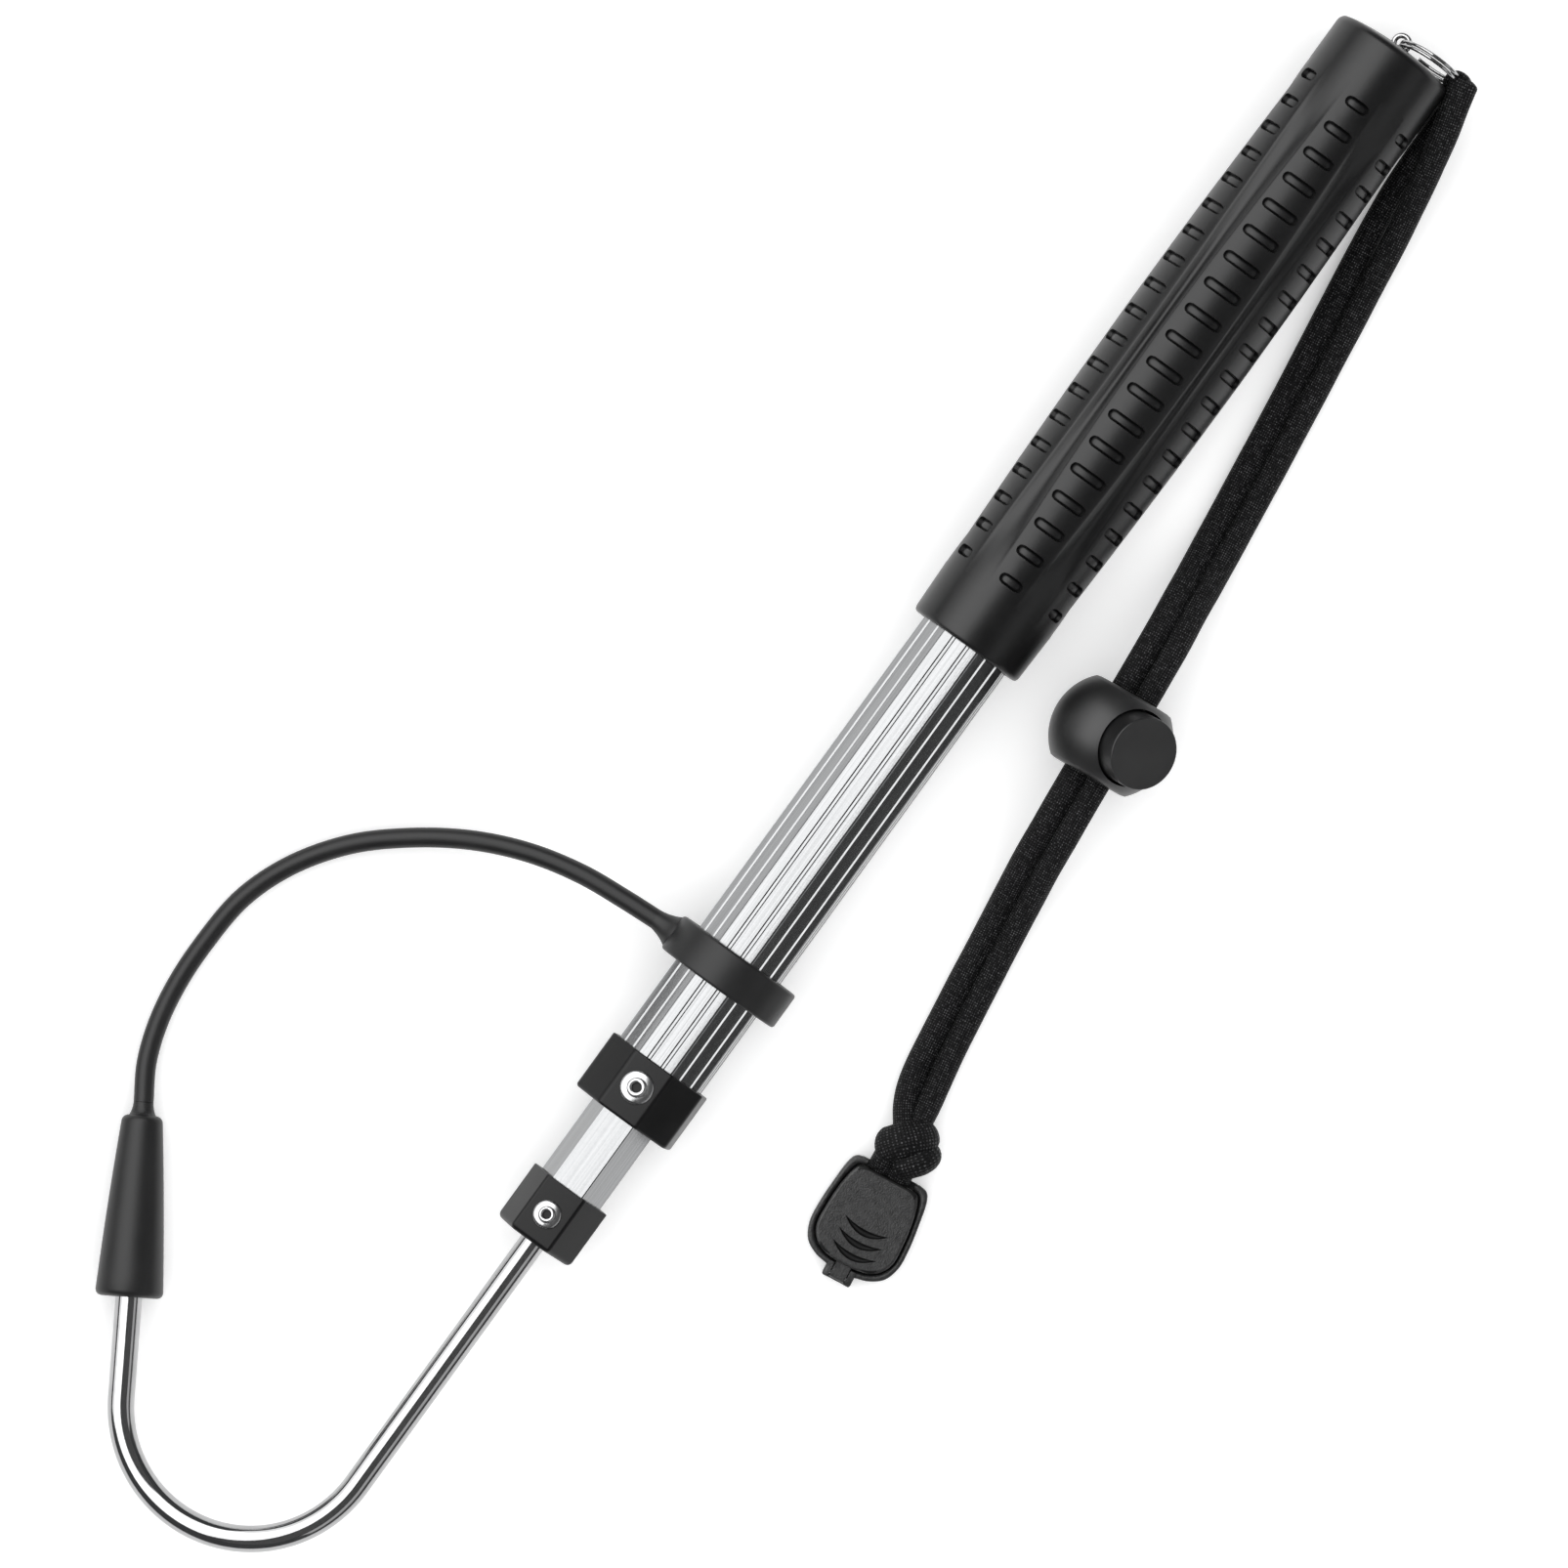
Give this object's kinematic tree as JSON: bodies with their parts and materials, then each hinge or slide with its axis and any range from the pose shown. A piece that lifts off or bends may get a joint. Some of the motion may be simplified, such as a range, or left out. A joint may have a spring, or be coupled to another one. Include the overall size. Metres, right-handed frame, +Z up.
{
  "type": "telescoping gaff hook",
  "caption": "Collapsible landing gaff: wire hook under a tethered rubber point guard, octagonal and hexagonal sliding tubes, ribbed grip and wrist lanyard with cord lock.",
  "frame": {"origin": "on the surface it lies on, under the middle of the box of the pole, hook and guard, the lanyard left out", "axes": "+X along the pole from the butt to the hook, +Y towards the lanyard's side, +Z up"},
  "size_m": [0.5454, 0.2149, 0.0398],
  "materials": {
    "grip_rubber": "satin moulded black rubber, faint mould texture",
    "guard_rubber": "satin dark grey-black rubber",
    "tube_aluminium": "bright drawn aluminium, fine lengthwise draw lines, silver anodised",
    "rivet_aluminium": "bright turned flange",
    "collar_plastic": "black moulded plastic with a fine grain",
    "hook_steel": "mirror-polished stainless wire",
    "ring_steel": "bright nickel-plated wire",
    "lanyard_cord": "black woven nylon tube, fine twill",
    "lock_plastic": "black moulded plastic, finely sand-blasted",
    "clip_plastic": "dark moulded plastic, sand-blasted grain"
  },
  "bodies": {
    "outer_section": {"grip": "grip_rubber", "outer_tube": "tube_aluminium", "butt_plug": "collar_plastic", "butt_eye": "ring_steel", "outer_collar": "collar_plastic", "outer_rivet": "rivet_aluminium", "guard_band": "guard_rubber", "tether_band_half": "guard_rubber"},
    "inner_section": {"inner_tube": "tube_aluminium", "rear_bush": "collar_plastic", "friction_ring": "grip_rubber", "inner_collar": "collar_plastic", "inner_rivet": "rivet_aluminium", "hook_plug": "collar_plastic", "hook_nut": "ring_steel", "hook": "hook_steel", "tether_cap_half": "guard_rubber"},
    "point_guard": {"guard_cap": "guard_rubber"},
    "ring": {"split_ring": "ring_steel"},
    "lanyard": {"lanyard_fold": "lanyard_cord", "lanyard_strand_a": "lanyard_cord", "lanyard_strand_b": "lanyard_cord", "lanyard_knot": "lanyard_cord", "clip_tray": "clip_plastic", "clip_pin": "ring_steel"},
    "cord_lock": {"lock_body": "lock_plastic", "lock_spring": "ring_steel"},
    "button": {"lock_button": "lock_plastic"},
    "lid": {"clip_lid": "clip_plastic"}
  },
  "joints": [
    {"name": "pole_slide", "type": "slide", "parent": "outer_section", "child": "inner_section", "axis": [1, 0, 0], "range_m": [0, 0.29], "deforming": ["tether_band_half"]},
    {"name": "guard_pull", "type": "slide", "parent": "inner_section", "child": "point_guard", "axis": [-0.848, -0.5262, -0.0627], "range_m": [0, 0.046], "deforming": ["tether_cap_half"]},
    {"name": "ring_swing", "type": "hinge", "parent": "outer_section", "child": "ring", "pos_m": [-0.26891, 0.05352, 0.0196], "axis": [0, 0, 1], "range_deg": [0, 150]},
    {"name": "lanyard_swing", "type": "hinge", "parent": "ring", "child": "lanyard", "pos_m": [-0.26891, 0.07272, 0.0196], "axis": [0, 0, 1], "range_deg": [0, 100]},
    {"name": "lock_slide", "type": "slide", "parent": "lanyard", "child": "cord_lock", "axis": [0.995, 0.0995, 0], "range_m": [-0.015, 0.015]},
    {"name": "button_press", "type": "slide", "parent": "cord_lock", "child": "button", "axis": [0.0512, -0.5125, -0.8572], "range_m": [0, 0.004], "stiffness_N_per_m": 600, "springref_m": -0.002, "deforming": ["lock_spring"]},
    {"name": "lid_hinge", "type": "hinge", "parent": "lanyard", "child": "lid", "pos_m": [0.10494, 0.12896, 0.0052], "axis": [-0.1392, 0.9903, 0], "range_deg": [0, 90]}
  ]
}
